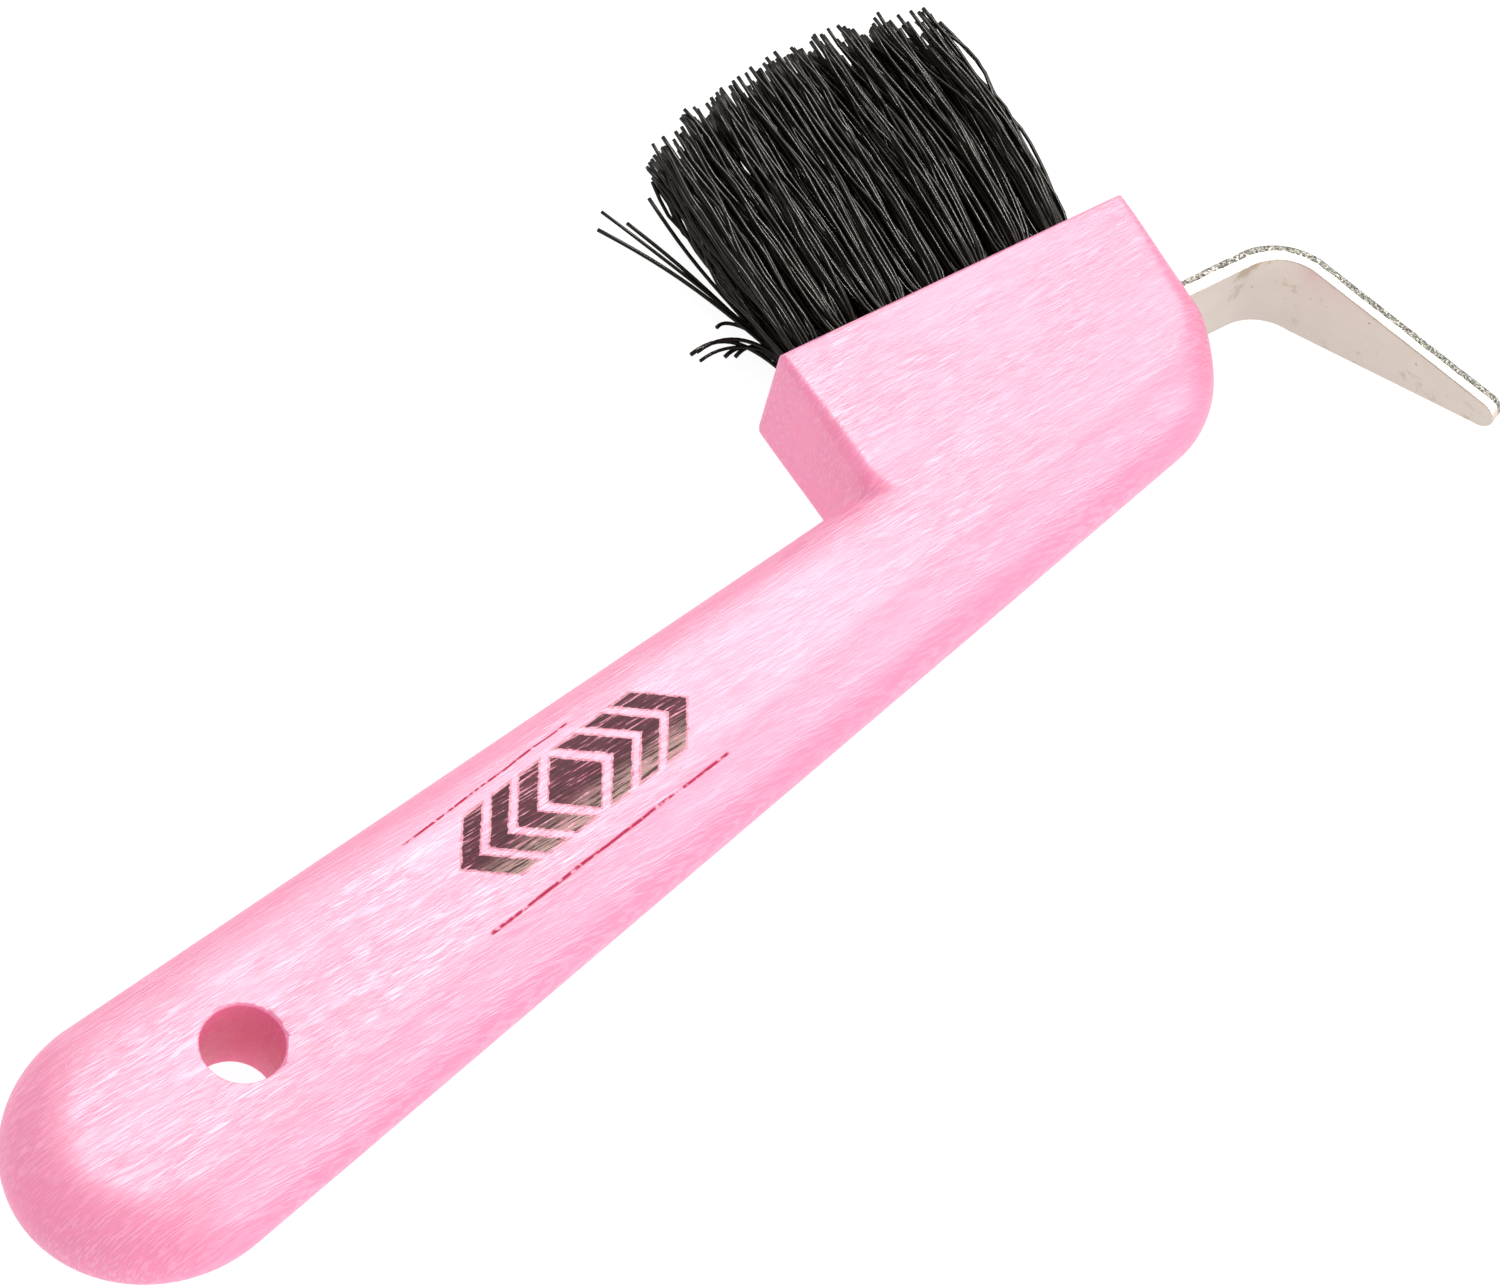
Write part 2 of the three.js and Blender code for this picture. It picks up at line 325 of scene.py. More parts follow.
def handle_distance(points):
    """The distance to the handle before it is thinned toward the butt.

    The head's edges are crisp at the brush face, softer toward the end, and as round as the grip's
    where the head runs into the core.
    """
    flat = points[:, :2]
    below = (HEAD_CORNER - flat) @ (on_head(0, 1) - HEAD_CORNER)
    along = (flat - HEAD_CORNER) @ (on_head(1, 0) - HEAD_CORNER)
    far = smooth_step(12, 32, along)
    head_edge = CRISP_EDGE + (CRISP_EDGE + SOFTENING * far) * smooth_step(0, 14, below)
    rest = EDGE_ROUNDING - 2 * CRISP_EDGE - SOFTENING * far
    head_edge += rest * smooth_step(16 - 4 * far, 24, below)
    core = rounded_plate(polygon_distance(flat, CORE), points[:, 2], EDGE_ROUNDING)
    head = rounded_plate(polygon_distance(flat, HEAD), points[:, 2], head_edge)
    head += HEAD_SINKING * smooth_step(15, 24, below)
    return np.maximum(smooth_union(core, head, CORE_BLEND), np.abs(points[:, 2]) - HALF_THICKNESS)


def settle(points, distance, rounds):
    """Moves points along the gradient onto the surface where the distance is nought."""
    step = 0.01
    for _ in range(rounds):
        here = distance(points)
        slope = np.stack([distance(points + step * axis) - here for axis in np.eye(3)], 1) / step
        points = points - here[:, None] * slope / np.maximum((slope ** 2).sum(1), 0.2)[:, None]
    return points


CORE = core_outline()
HEAD = head_outline()


def thin_toward_butt(points):
    share = 1 - THINNING * np.maximum(THINNING_START - points[:, 0], 0) / HALF_THICKNESS
    return np.column_stack([points[:, :2], points[:, 2] * share])


def handle_block():
    """A prism of the handle's outline, as a mesh of small squares."""
    outline = silhouette()
    count = len(outline)
    points = [(x, y, z) for z in (-HALF_THICKNESS, HALF_THICKNESS) for x, y in outline]
    faces = [tuple(reversed(range(count))), tuple(range(count, 2 * count))]
    for i in range(count):
        j = (i + 1) % count
        faces.append((i, j, j + count, i + count))
    block = mesh_object("handle_moulding", points, faces)
    remesh = block.modifiers.new("squares", "REMESH")
    remesh.mode = "VOXEL"
    remesh.voxel_size = SQUARE
    baked(block)
    return block


def relax(piece, iterations):
    """Evens out the squares of a mesh."""
    modifier = piece.modifiers.new("even", "SMOOTH")
    modifier.factor = 0.5
    modifier.iterations = iterations
    baked(piece)


def rim_cutter():
    """The hang hole, with its two rims rounded."""
    face = HALF_THICKNESS - THINNING * (THINNING_START - HANG_HOLE[0])
    profile = [(0, -HALF_THICKNESS - 2), (HANG_HOLE_RADIUS + 2 * HOLE_RIM, -HALF_THICKNESS - 2)]
    for turn in np.linspace(0, math.pi / 2, 7):
        radius = HANG_HOLE_RADIUS + HOLE_RIM * (1 - math.sin(turn))
        profile.append((radius, HOLE_RIM * (1 - math.cos(turn)) - face))
    for radius, z in list(reversed(profile)):
        profile.append((radius, -z))
    profile[0] = (0, profile[0][1])
    shift = np.array([*HANG_HOLE, 0])
    return lathe("hang_hole_cutter", profile, 64, lambda points: points + shift)


def tuft_places():
    """Each tuft's number, its place on the brush face, and how far from the middle, -1 to 1."""
    reach = (max(TUFTS_IN_ROWS) - 1) / 2 * TUFT_PITCH
    for row, count in enumerate(TUFTS_IN_ROWS):
        for column in range(count):
            from_middle = (column - (count - 1) / 2) * TUFT_PITCH
            z = (row - (len(TUFTS_IN_ROWS) - 1) / 2) * ROW_PITCH
            yield f"{row + 1}_{column + 1}", BRUSH_MIDDLE + from_middle, z, from_middle / reach


def head_to_handle(points, along, z):
    """Points of a tuft, with y up out of the brush face, to the handle's frame."""
    flat = np.array([on_head(along + x, y) for x, y in points[:, :2]])
    return np.column_stack([flat, points[:, 2] + z])


def tuft_hole_cutter(along, z):
    flare = 0.15
    drill_point = 0.8
    profile = [
        (0, -TUFT_HOLE_DEPTH - drill_point),
        (TUFT_HOLE_RADIUS, -TUFT_HOLE_DEPTH),
        (TUFT_HOLE_RADIUS, -flare),
        (TUFT_HOLE_RADIUS + flare, 0.02),
        (TUFT_HOLE_RADIUS + flare, 2),
        (0, 2),
    ]

    def place(points):
        upright = np.column_stack([points[:, 1], points[:, 2], points[:, 0]])
        return head_to_handle(upright, along, z)
    return lathe("tuft_hole_cutter", profile, 24, place)


def mesh_points(piece):
    points = np.empty(3 * len(piece.data.vertices))
    piece.data.vertices.foreach_get("co", points)
    return points.reshape(-1, 3)


def move_points(piece, points):
    piece.data.vertices.foreach_set("co", points.ravel())
    piece.data.update()


def make_handle():
    """Evens out and settles the block twice, which leaves no folded squares, and then cuts it."""
    piece = handle_block()
    for iterations, rounds in ((6, 7), (3, 3)):
        relax(piece, iterations)
        move_points(piece, settle(mesh_points(piece), handle_distance, rounds))
    move_points(piece, thin_toward_butt(mesh_points(piece)))
    cut(piece, rim_cutter())
    for _, along, z, _ in tuft_places():
        cut(piece, tuft_hole_cutter(along, z))
    cut(piece, mesh_object("blade_seat", *blade_mesh(seat=SEAT_GAP)))
    move_points(piece, to_row(mesh_points(piece)))
    piece.data.polygons.foreach_set("use_smooth", [True] * len(piece.data.polygons))
    return piece


# ---- Blade ----

def blade_ring(width, half_thickness, edge):
    """A rounded rectangle as (through, across) pairs; the through side is the blade's thickness."""
    ring = []
    edge = min(edge, width / 2 * 0.95)
    corners = [(1, 1, 0), (-1, 1, 1), (-1, -1, 2), (1, -1, 3)]
    for t_side, w_side, quarter in corners:
        for step in range(4):
            turn = math.pi / 2 * (quarter + step / 3)
            ring.append((
                t_side * (half_thickness - edge) + edge * math.cos(turn),
                w_side * (width / 2 - edge) + edge * math.sin(turn),
            ))
    return ring


def blade_width(beyond_bend):
    """The full width at a distance beyond the bend, down to the round tip."""
    round_start = LEG_LENGTH - TIP_WIDTH / 2
    if beyond_bend > round_start:
        into = min(beyond_bend - round_start, TIP_WIDTH / 2)
        return 2 * math.sqrt(max((TIP_WIDTH / 2) ** 2 - into ** 2, 0.01))
    share = max(beyond_bend, 0) / round_start
    return BLADE_WIDTH + (TIP_WIDTH - BLADE_WIDTH) * share


def blade_stations():
    """Middle-line points, outward normals and widths from the buried tang to the tip."""
    middle = BEND_RADIUS + BLADE_THICKNESS / 2
    stations = []
    for along in np.linspace(-TANG_LENGTH, 0, 37)[:-1]:
        stations.append(((along, middle), (0, 1), BLADE_WIDTH))
    for turn in np.linspace(0, BEND_ANGLE, 31):
        normal = (math.sin(turn), math.cos(turn))
        stations.append(((middle * normal[0], middle * normal[1]), normal, BLADE_WIDTH))
    normal = np.array([math.sin(BEND_ANGLE), math.cos(BEND_ANGLE)])
    along = np.array([normal[1], -normal[0]])
    straight = np.linspace(0, LEG_LENGTH - TIP_WIDTH / 2, 40)[1:]
    rounding = LEG_LENGTH - TIP_WIDTH / 2 * (1 - np.sin(np.linspace(0, math.pi / 2, 16)[1:]))
    for beyond in np.concatenate([straight, rounding]):
        stations.append((tuple(middle * normal + beyond * along), tuple(normal), blade_width(beyond)))
    return stations


def blade_mesh(seat=0.0):
    """The blade's points in the handle's frame and its faces; seat swells it all round."""
    turn = np.array([
        [math.cos(HEAD_SLOPE), -math.sin(HEAD_SLOPE)],
        [math.sin(HEAD_SLOPE), math.cos(HEAD_SLOPE)],
    ])
    points = []
    for middle, normal, width in blade_stations():
        for t, w in blade_ring(width + 2 * seat, BLADE_THICKNESS / 2 + seat, BLADE_EDGE):
            flat = turn @ (np.array(middle) + t * np.array(normal)) + BEND_CENTRE
            points.append((flat[0], flat[1], w))
    size = len(blade_ring(1, 1, 0.1))
    rings = len(points) // size
    faces = [tuple(range(size)), tuple(reversed(range((rings - 1) * size, rings * size)))]
    for ring in range(rings - 1):
        for i in range(size):
            j = (i + 1) % size
            faces.append((ring * size + j, ring * size + i, (ring + 1) * size + i, (ring + 1) * size + j))
    return points, faces


def make_blade():
    points, faces = blade_mesh()
    piece = mesh_object("hoof_pick_steel", to_row(points), faces)
    ring = [t for t, _ in blade_ring(BLADE_WIDTH, BLADE_THICKNESS / 2, BLADE_EDGE)]
    through = piece.data.attributes.new("through", "FLOAT", "POINT")
    through.data.foreach_set("value", ring * (len(points) // len(ring)))
    return piece


# ---- Bristles ----

def filament_tube(path, radius, sides=6):
    """A thin closed tube along a path of points in a tuft's frame, with flat cut ends."""
    tangent = np.gradient(path, axis=0)
    tangent /= np.linalg.norm(tangent, axis=1)[:, None]
    side = np.cross(tangent, (0, 0, 1))
    side /= np.linalg.norm(side, axis=1)[:, None]
    other = np.cross(tangent, side)
    turn = np.linspace(0, 2 * math.pi, sides, endpoint=False)
    ring = np.cos(turn)[None, :, None] * side[:, None] + np.sin(turn)[None, :, None] * other[:, None]
    points = (path[:, None] + radius * ring).reshape(-1, 3)
    faces = []
    for i in range(len(path) - 1):
        for j in range(sides):
            k = (j + 1) % sides
            faces.append((i * sides + j, i * sides + k, (i + 1) * sides + k, (i + 1) * sides + j))
    faces.append(tuple(reversed(range(sides))))
    faces.append(tuple(range((len(path) - 1) * sides, len(path) * sides)))
    return points, faces


def filament_path(random, share, steps=16):
    """One bristle: straight in its hole, then spreading, leaning, bulging and slightly wavy."""
    turn = random.uniform(0, 2 * math.pi)
    out = TUFT_RADIUS * math.sqrt(random.uniform(0, 1))
    root = np.array([out * math.cos(turn), out * math.sin(turn)])
    length = BRISTLE_LENGTH - DOME * share * share + END_LIFT * share - abs(random.normal(0, UNEVENNESS))
    if random.uniform() < SHORT_SHARE:
        length -= random.uniform(1, 6)
    lean = np.array([BRUSH_LEAN, 0]) * length
    spread = root * (0.5, 0.45) + random.normal(0, (0.7, 0.5))
    if random.uniform() < ASTRAY_SHARE:
        spread += random.normal(0, ASTRAY_SPREAD, 2) * (1, 0.4)
    # A tip strays less toward the end of the brush that its tuft is near
    low = -STRAYING_OUT - STRAYING_IN * (1 + share)
    high = STRAYING_OUT + STRAYING_IN * (1 - share)
    spread[0] = np.clip(spread[0], low, high)
    up = np.linspace(0, 1, steps)
    bulge = np.outer(np.sin(math.pi * up) ** 1.2, (0.55 + 0.7 * share, 0))
    envelope = up ** 0.8 * (1 - 0.45 * up)
    wave = np.zeros((steps, 2))
    for turns, size in WAVES:
        phase = random.uniform(0, 2 * math.pi, 2)
        strength = random.normal(0, size, 2)
        wave += strength * (np.sin(2 * math.pi * turns * up[:, None] + phase) - np.sin(phase))
    flare = 0.3 * np.outer(np.minimum(12 * up, 1), root)
    flat = root + flare + up[:, None] * lean + up[:, None] ** 0.6 * spread + bulge
    flat += envelope[:, None] * wave
    path = np.column_stack([flat[:, 0], up * length, flat[:, 1]])
    buried = np.array([[root[0], depth, root[1]] for depth in BURIED])
    return np.concatenate([buried, path])


def stray_path(random, knee, tip, steps=16):
    """A loose bristle that curves from its hole past a knee to its tip."""
    root = np.array([-0.9, 0, -0.6]) + random.normal(0, 0.25, 3) * (1, 0, 1)
    up = np.linspace(0, 1, steps)[:, None]
    path = root + 2 * up * (1 - up) * np.array(knee) + up ** 2 * np.array(tip)
    path += np.array([0.3, 0, 0.2]) * np.sin(2.2 * math.pi * up) * up * random.uniform(-1, 1)
    return np.concatenate([[root + (0, depth, 0) for depth in BURIED], path])


def stray_paths(random):
    """Loose bristles that splay out past the butt side of the brush; the short ones are bent over."""
    paths = [stray_path(random, (-1.6, 13, 0), tip) for tip in LONG_STRAYS]
    for out, up in BENT_STRAYS:
        tip = (out, up, -random.uniform(0.2, 0.8))
        paths.append(stray_path(random, (-0.9 - 0.1 * random.uniform(), up + 1.5, 0), tip))
    return paths


def make_tuft(number, along, z, share, material):
    """One tuft of bristles, kept within the handle's sides and below the brush's top."""
    random = np.random.default_rng([int(part) for part in number.split("_")])
    paths = [filament_path(random, share) for _ in range(FILAMENTS)]
    if number == "1_1":
        paths += stray_paths(random)
    limit = HALF_THICKNESS - SIDE_MARGIN
    points = []
    faces = []
    for path in paths:
        path[:, 2] = np.clip(path[:, 2], -limit - z, limit - z)
        excess = head_to_handle(path, along, z)[:, 1].max() + 0.1 - BRUSH_TOP
        path[2:, 1] *= 1 - max(excess, 0) / path[-1, 1]
        tube_points, tube_faces = filament_tube(path, random.uniform(*FILAMENT_RADII))
        faces += [tuple(index + len(points) for index in face) for face in tube_faces]
        points.extend(tube_points)
    points = to_row(head_to_handle(np.array(points), along, z))
    piece = mesh_object(f"bristles_{number}", points, faces)
    piece.data.materials.append(material)
    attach(piece, "root")
    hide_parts(f"tuft_{number}")


# ---- Materials ----

class Nodes:
    """Builds one material's nodes; numbers, sockets and results can be mixed in its sums."""

    def __init__(self, name):
        self.material = bpy.data.materials.new(name)
        self.material.use_nodes = True
        self.tree = self.material.node_tree
        self.shader = self.tree.nodes["Principled BSDF"]

    def add(self, kind, **settings):
        node = self.tree.nodes.new(kind)
        for key, value in settings.items():
            setattr(node, key, value)
        return node

    def put(self, socket, value):
        if isinstance(value, bpy.types.NodeSocket):
            self.tree.links.new(value, socket)
        else:
            socket.default_value = value

    def math(self, operation, *values, clamp=False):
        node = self.add("ShaderNodeMath", operation=operation, use_clamp=clamp)
        for socket, value in zip(node.inputs, values):
            self.put(socket, value)
        return node.outputs[0]

    def position(self):
        """x, y and z in millimetres in the handle's frame."""
        coordinates = self.add("ShaderNodeTexCoord").outputs["Object"]
        mapping = self.add("ShaderNodeMapping", vector_type="TEXTURE")
        mapping.inputs["Location"].default_value = tuple(ROW_ORIGIN)
        mapping.inputs["Scale"].default_value = (MM, MM, MM)
        self.put(mapping.inputs["Vector"], coordinates)
        return mapping.outputs[0]

    def stretched(self, vector, scale):
        mapping = self.add("ShaderNodeMapping")
        mapping.inputs["Scale"].default_value = scale
        self.put(mapping.inputs["Vector"], vector)
        return mapping.outputs[0]

    def turned(self, vector, angle):
        node = self.add("ShaderNodeVectorRotate", rotation_type="Z_AXIS")
        self.put(node.inputs["Vector"], vector)
        node.inputs["Angle"].default_value = angle
        return node.outputs[0]

    def noise(self, vector, scale, detail=2.0, roughness=0.5, distortion=0.0):
        node = self.add("ShaderNodeTexNoise")
        self.put(node.inputs["Vector"], vector)
        node.inputs["Scale"].default_value = scale
        node.inputs["Detail"].default_value = detail
        node.inputs["Roughness"].default_value = roughness
        node.inputs["Distortion"].default_value = distortion
        return node.outputs["Fac"]

    def remap(self, value, low, high, to_low=0.0, to_high=1.0):
        node = self.add("ShaderNodeMapRange", interpolation_type="SMOOTHSTEP")
        for socket, number in zip(node.inputs, (value, low, high, to_low, to_high)):
            self.put(socket, number)
        return node.outputs[0]

    def mix(self, share, first, second):
        node = self.add("ShaderNodeMix", data_type="RGBA")
        colours = [socket for socket in node.inputs if socket.type == "RGBA"]
        self.put(node.inputs[0], share)
        for socket, value in zip(colours, (first, second)):
            self.put(socket, value)
        return [socket for socket in node.outputs if socket.type == "RGBA"][0]

    def bump(self, height, distance, strength=1.0, normal=None):
        node = self.add("ShaderNodeBump")
        node.inputs["Strength"].default_value = strength
        node.inputs["Distance"].default_value = distance
        self.put(node.inputs["Height"], height)
        if normal is not None:
            self.put(node.inputs["Normal"], normal)
        return node.outputs[0]


def band(nodes, value, low, high, soft):
    """1 where the value lies between low and high, with soft edges."""
    rise = nodes.remap(value, low - soft, low + soft)
    fall = nodes.remap(value, high - soft, high + soft, 1.0, 0.0)
    return nodes.math("MULTIPLY", rise, fall)


def print_masks(nodes, position):
    """The print on the upper side: two thin lines, and a diamond between chevron bars.

    Gives the lines, the bars, the bars grown by a fringe, and the height above the print's middle.
    """
    parts = nodes.add("ShaderNodeSeparateXYZ")
    nodes.put(parts.inputs[0], position)
    x, y, z = parts.outputs
    upper_side = nodes.remap(z, 2.0, 3.0)
    wobble = nodes.noise(nodes.stretched(position, (0.25, 1, 1)), 0.9, 3.0)
    wavy_y = nodes.math("ADD", y, nodes.math("MULTIPLY", nodes.math("SUBTRACT", wobble, 0.5), 0.4))
    lines = 0.0
    for (start, end), (low, high), soft in PRINT_LINES:
        lengthwise = band(nodes, x, start, end, 0.3)
        line = nodes.math("MULTIPLY", lengthwise, band(nodes, wavy_y, low, high, soft))
        lines = nodes.math("MAXIMUM", lines, line)

    up = nodes.math("SUBTRACT", y, PRINT_MIDDLE[1])
    tall = nodes.math("ABSOLUTE", up)
    ripple = nodes.math("MULTIPLY", nodes.math("SUBTRACT", nodes.noise(position, 2.2, 3.0), 0.5), 0.7)
    sideways = nodes.math("ABSOLUTE", nodes.math("SUBTRACT", x, PRINT_MIDDLE[0]))
    away = nodes.math("ADD", sideways, tall)
    away = nodes.math("ADD", away, ripple)
    inked = []
    for grown in (0.0, PRINT_FRINGE):
        bars = 0.0
        for low, high in PRINT_BARS:
            bar = band(nodes, away, low - grown, high + grown, 0.08)
            bars = nodes.math("MAXIMUM", bars, bar)
        height = band(nodes, tall, -1.0, PRINT_HALF_HEIGHT + grown, 0.08)
        inked.append(nodes.math("MULTIPLY", nodes.math("MULTIPLY", bars, height), upper_side))
    return nodes.math("MULTIPLY", lines, upper_side), inked[0], inked[1], up


def hang_hole_shade_mask(nodes, position):
    """1 on the wall of the hang hole, where a deeper pink is painted in as painted shade inside the hole.
    """
    middle = (*HANG_HOLE, 0)
    flat = nodes.add("ShaderNodeVectorMath", operation="MULTIPLY")
    nodes.put(flat.inputs[0], position)
    flat.inputs[1].default_value = (1, 1, 0)
    reach = nodes.add("ShaderNodeVectorMath", operation="DISTANCE")
    nodes.put(reach.inputs[0], flat.outputs[0])
    reach.inputs[1].default_value = middle
    return nodes.remap(reach.outputs["Value"], HANG_HOLE_RADIUS + 0.05, HANG_HOLE_RADIUS + 0.2, 1.0, 0.0)


def pink_plastic():
    nodes = Nodes("pink_moulded_plastic")
    position = nodes.position()
    grain_direction = nodes.turned(position, math.radians(6))
    grain = nodes.noise(nodes.stretched(grain_direction, (0.28, 5.2, 1.2)), 1.0, 1.5, 0.5, 0.15)
    ridges = nodes.remap(grain, 0.42, 0.62)
    broad = nodes.noise(nodes.stretched(grain_direction, (0.12, 0.8, 0.4)), 1.0, 3.0, 0.6)
    pits = nodes.noise(position, 1.6, 2.0)
    mottle = nodes.noise(nodes.stretched(grain_direction, (0.05, 0.2, 0.2)), 1.0, 3.0)
    wide = nodes.noise(nodes.stretched(grain_direction, (0.05, 0.12, 0.1)), 1.0, 2.0)
    patches = nodes.remap(wide, 0.38, 0.6)
    depth = nodes.math("ADD", 0.45, nodes.math("MULTIPLY", patches, 0.55))
    embossed = nodes.math("MULTIPLY", ridges, depth)

    pink = nodes.mix(mottle, (0.84, 0.235, 0.415, 1), (0.88, 0.27, 0.47, 1))
    # The embossed grain is real relief, bumped below; its ridges are also painted a paler pink, a painted
    # highlight along the raised lines.
    pink = nodes.mix(nodes.math("MULTIPLY", embossed, 0.55), pink, (0.94, 0.40, 0.60, 1))
    # Painted shade: the hang hole's wall is painted a deeper, more saturated pink in place of the shade
    # inside the hole.
    painted_hole_shade = nodes.math("MULTIPLY", hang_hole_shade_mask(nodes, position), 0.5)
    pink = nodes.mix(painted_hole_shade, pink, (0.80, 0.09, 0.24, 1))
    lines, bars, fringe, up = print_masks(nodes, position)
    wear = nodes.noise(nodes.stretched(grain_direction, (0.22, 4.2, 2.4)), 1.0, 4.0, 0.7)
    worn = nodes.remap(wear, 0.36, 0.44)
    faded = nodes.remap(up, -3.6, -0.4, 1.0, 0.0)
    dark = nodes.mix(nodes.remap(wear, 0.42, 0.62), (0.12, 0.02, 0.04, 1), (0.03, 0.008, 0.012, 1))
    tan = nodes.mix(nodes.remap(wear, 0.50, 0.56), (0.50, 0.34, 0.30, 1), (0.06, 0.03, 0.03, 1))
    ink = nodes.mix(faded, dark, tan)
    fringe_share = nodes.math("MULTIPLY", fringe, nodes.remap(pits, 0.25, 0.55, 0.35, 0.8))
    pink = nodes.mix(fringe_share, pink, (0.42, 0.015, 0.09, 1))
    ink_share = nodes.math("MULTIPLY", bars, nodes.math("MULTIPLY", worn, 0.95))
    pink = nodes.mix(ink_share, pink, ink)
    line_share = nodes.math("MULTIPLY", lines, nodes.remap(nodes.noise(position, 1.3, 3.0), 0.3, 0.5))
    pink = nodes.mix(line_share, pink, (0.50, 0.008, 0.08, 1))
    nodes.put(nodes.shader.inputs["Base Color"], pink)

    matt = nodes.math("MAXIMUM", ink_share, line_share)
    satin = nodes.remap(broad, 0.25, 0.75, 0.38, 0.48)
    roughness = nodes.math("ADD", satin, nodes.math("MULTIPLY", matt, 0.3), clamp=True)
    nodes.put(nodes.shader.inputs["Roughness"], roughness)
    nodes.put(nodes.shader.inputs["Specular IOR Level"], nodes.remap(matt, 0.0, 1.0, 0.5, 0.15))
    relief = nodes.bump(embossed, 0.05 * MM)
    relief = nodes.bump(broad, 0.02 * MM, 1.0, relief)
    relief = nodes.bump(pits, 0.012 * MM, 1.0, relief)
    nodes.put(nodes.shader.inputs["Normal"], relief)
    nodes.shader.inputs["Subsurface Weight"].default_value = 0.2
    nodes.shader.inputs["Subsurface Radius"].default_value = (1.0, 0.35, 0.5)
    nodes.shader.inputs["Subsurface Scale"].default_value = 1.5 * MM
    return nodes.material


def plated_steel():
    """Plated steel. On the stamped edges, the half next to the outer face is dull and stippled.

    The blade's "through" attribute says how far a point is from the middle of the thickness.
    """
    nodes = Nodes("plated_steel")
    position = nodes.position()
    through = nodes.add("ShaderNodeAttribute", attribute_name="through").outputs["Fac"]
    wander = nodes.noise(position, 0.6, 3.0)
    wander = nodes.math("MULTIPLY", nodes.math("SUBTRACT", wander, 0.5), 0.5)
    edge_place = nodes.math("ADD", through, wander)
    torn = band(nodes, edge_place, 0.12, 0.95, 0.05)
    stipple = nodes.noise(position, 4.0, 3.0, 0.7)
    dull = nodes.math("MULTIPLY", torn, nodes.remap(stipple, 0.36, 0.5, 0.55, 1.0))
    cloud = nodes.noise(position, 0.3, 4.0, 0.6)
    stain = nodes.remap(nodes.noise(position, 0.28, 4.0, 0.65), 0.57, 0.70)
    speck = nodes.remap(nodes.noise(position, 1.7, 2.0), 0.70, 0.76)
    metal = nodes.mix(cloud, (0.53, 0.45, 0.40, 1), (0.62, 0.555, 0.50, 1))
    metal = nodes.mix(nodes.math("MULTIPLY", stain, 0.7), metal, (0.40, 0.31, 0.23, 1))
    metal = nodes.mix(nodes.math("MULTIPLY", speck, 0.7), metal, (0.16, 0.10, 0.06, 1))
    grit = nodes.mix(nodes.remap(stipple, 0.5, 0.6), (0.30, 0.30, 0.27, 1), (0.07, 0.07, 0.06, 1))
    metal = nodes.mix(dull, metal, grit)
    nodes.put(nodes.shader.inputs["Specular IOR Level"], nodes.remap(dull, 0.0, 1.0, 0.5, 0.08))
    nodes.put(nodes.shader.inputs["Base Color"], metal)
    metallic = nodes.math("SUBTRACT", 1.0, nodes.math("MULTIPLY", dull, 0.97))
    nodes.put(nodes.shader.inputs["Metallic"], metallic)
    polish = nodes.remap(cloud, 0.3, 0.7, 0.28, 0.38)
    roughness = nodes.math("ADD", polish, nodes.math("MULTIPLY", torn, 0.12))
    nodes.put(nodes.shader.inputs["Roughness"], roughness)
    relief = nodes.bump(nodes.math("MULTIPLY", stipple, torn), 0.12 * MM)
    fine = nodes.noise(position, 6.0, 2.0)
    nodes.put(nodes.shader.inputs["Normal"], nodes.bump(fine, 0.006 * MM, 1.0, relief))
    return nodes.material


def black_bristle():
    nodes = Nodes("black_bristle")
    position = nodes.position()
    tone = nodes.noise(position, 0.8, 3.0)
    nodes.put(
        nodes.shader.inputs["Base Color"],
        nodes.mix(tone, (0.004, 0.0024, 0.0014, 1), (0.011, 0.007, 0.004, 1)),
    )
    nodes.shader.inputs["Specular IOR Level"].default_value = 0.17
    nodes.put(nodes.shader.inputs["Roughness"], nodes.remap(tone, 0.3, 0.7, 0.17, 0.27))
    nodes.put(nodes.shader.inputs["Normal"], nodes.bump(nodes.noise(position, 0.9, 2.0), 0.02 * MM))
    return nodes.material


def staple_wire():
    nodes = Nodes("drawn_wire")
    position = nodes.position()
    scratch = nodes.noise(nodes.stretched(position, (1, 6, 1)), 2.0, 3.0)
    metal = nodes.mix(scratch, (0.5, 0.48, 0.44, 1), (0.66, 0.64, 0.6, 1))
    nodes.put(nodes.shader.inputs["Base Color"], metal)
    nodes.shader.inputs["Metallic"].default_value = 1.0
    nodes.put(nodes.shader.inputs["Roughness"], nodes.remap(scratch, 0.2, 0.8, 0.3, 0.5))
    nodes.put(nodes.shader.inputs["Normal"], nodes.bump(scratch, 0.01 * MM))
    return nodes.material


# ---- Camera, lights and floor ----

def add_camera():
    data = bpy.data.cameras.new("camera")
    camera = bpy.data.objects.new("camera", data)
    bpy.context.scene.collection.objects.link(camera)
    camera.rotation_euler = Euler([math.radians(angle) for angle in CAMERA_TURN])
    back = camera.rotation_euler.to_matrix() @ Vector((0, 0, CAMERA_DISTANCE))
    camera.location = Vector(to_row(CAMERA_AIM)) + back
    data.lens = CAMERA_LENS
    data.sensor_width = 36
    data.clip_end = 10
    bpy.context.scene.camera = camera


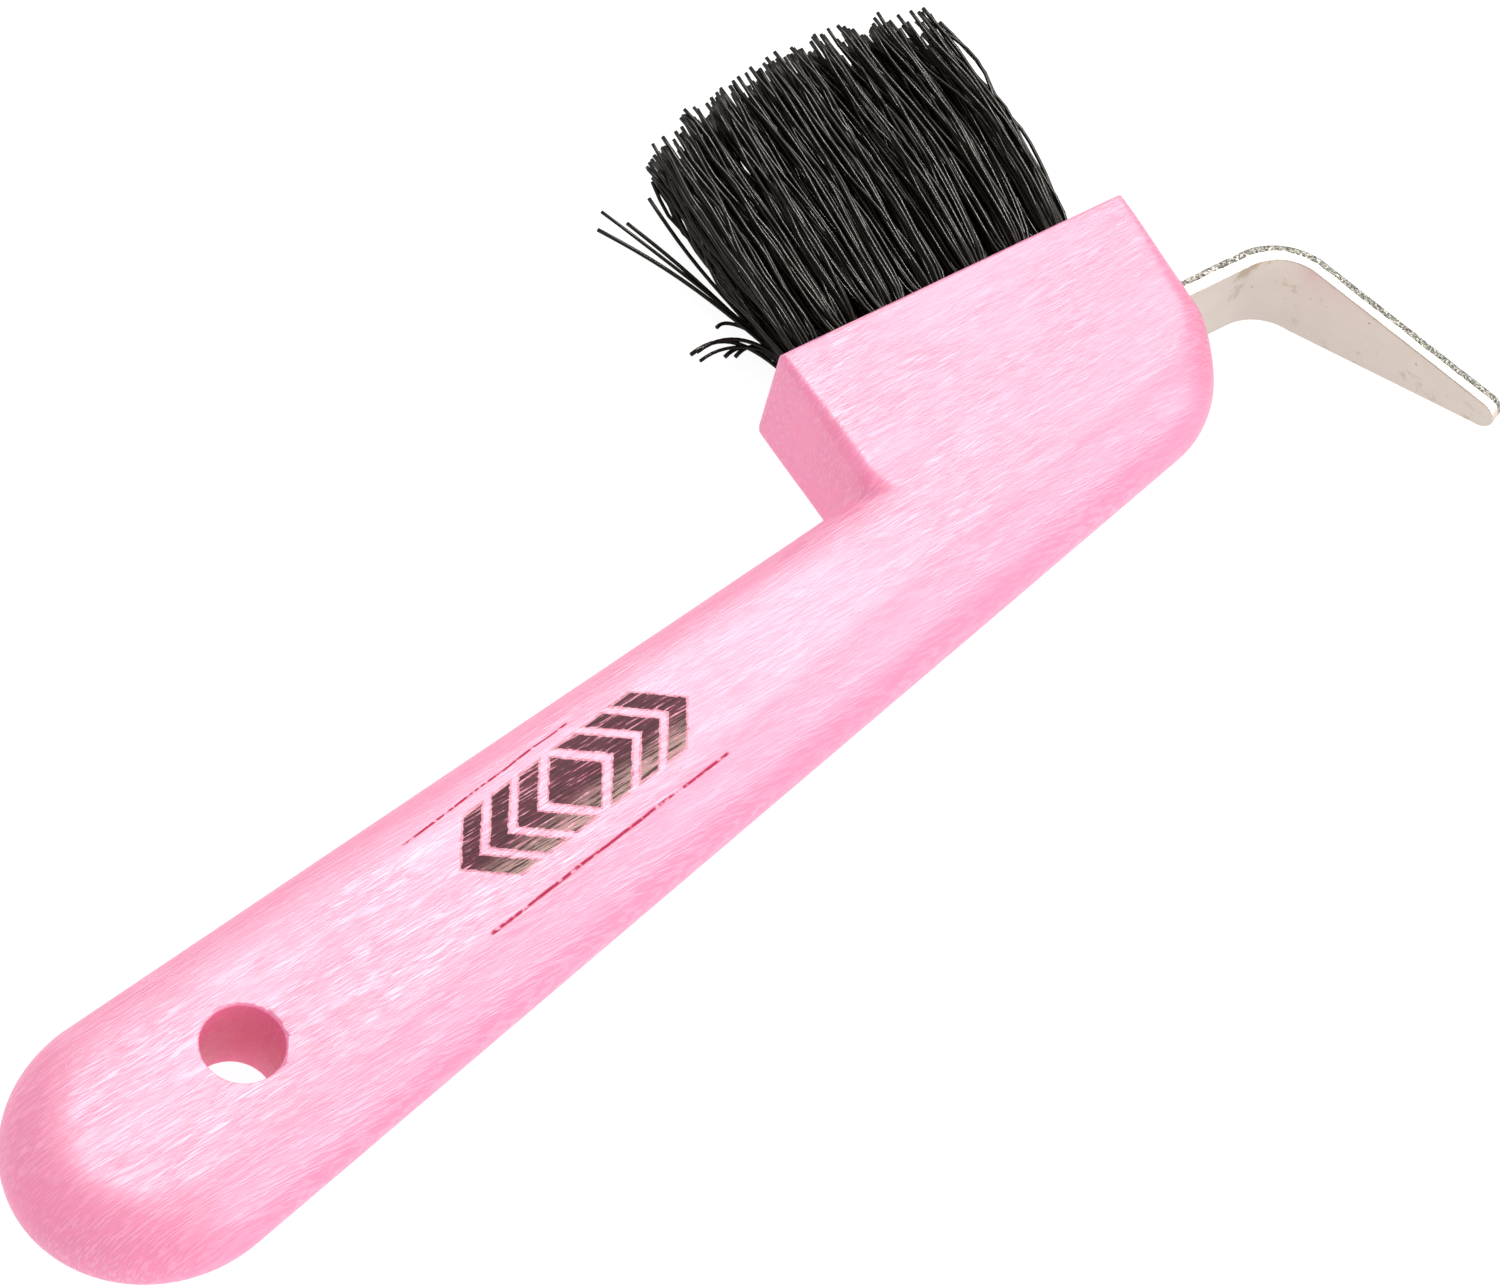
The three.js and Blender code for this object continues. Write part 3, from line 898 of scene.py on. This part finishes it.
def add_area_light(name, location, size, radiance, diffuse=True, glossy=True):
    data = bpy.data.lights.new(name, "AREA")
    data.shape = "SQUARE"
    data.size = size
    data.energy = radiance * math.pi * size ** 2
    data.color = LIGHT_COLOUR
    light = bpy.data.objects.new(name, data)
    light.location = location
    light.rotation_euler = (-Vector(location)).to_track_quat("-Z", "Y").to_euler()
    light.visible_camera = False
    light.visible_diffuse = diffuse
    light.visible_glossy = glossy
    bpy.context.scene.collection.objects.link(light)


def add_studio():
    scene = bpy.context.scene
    scene.view_settings.view_transform = "Standard"
    world = bpy.data.worlds.new("studio")
    world.use_nodes = True
    background = world.node_tree.nodes["Background"]
    background.inputs["Color"].default_value = (1.0, 0.985, 0.97, 1)
    background.inputs["Strength"].default_value = 0.8
    scene.world = world
    add_area_light("sheen_softbox", (0.38, 0.24, 0.66), 0.6, 7.0, diffuse=False)
    add_area_light("side_softbox", (0.46, -0.66, 0.56), 0.9, 8.5, diffuse=False)
    add_area_light("back_softbox", (0.47, 0.66, 0.5), 0.6, 8.0, diffuse=False)
    add_area_light("glint", (0.27, 0.28, 0.81), 0.13, 130.0, diffuse=False)
    add_area_light("top_softbox", (0.1, 0.2, 0.9), 0.8, 1.1, glossy=False)
    add_area_light("side_fill", (0.2, -0.8, 0.4), 0.8, 1.2, glossy=False)
    nodes = Nodes("pale_floor")
    nodes.shader.inputs["Base Color"].default_value = (0.2, 0.2, 0.2, 1)
    nodes.shader.inputs["Roughness"].default_value = 0.8
    nodes.shader.inputs["Emission Color"].default_value = (1, 1, 1, 1)
    nodes.shader.inputs["Emission Strength"].default_value = 0.92
    half = 3.0
    corners = [(-half, -half, 0), (half, -half, 0), (half, half, 0), (-half, half, 0)]
    floor = mesh_object("floor", corners, [(0, 1, 2, 3)], smooth=False)
    floor.data.materials.append(nodes.material)


# ---- Assembly ----

add_camera()
add_studio()

handle = make_handle()
handle.data.materials.clear()
handle.data.materials.append(pink_plastic())
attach(handle, "root")
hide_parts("handle")

blade = make_blade()
blade.data.materials.append(plated_steel())
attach(blade, "root")
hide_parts("hoof_pick_blade")

bristle_material = black_bristle()
wire_material = staple_wire()
for tuft_number, tuft_along, tuft_z, tuft_share in tuft_places():
    make_tuft(tuft_number, tuft_along, tuft_z, tuft_share, bristle_material)
    for material_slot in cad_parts[f"staple_{tuft_number}"].material_slots:
        material_slot.material = wire_material
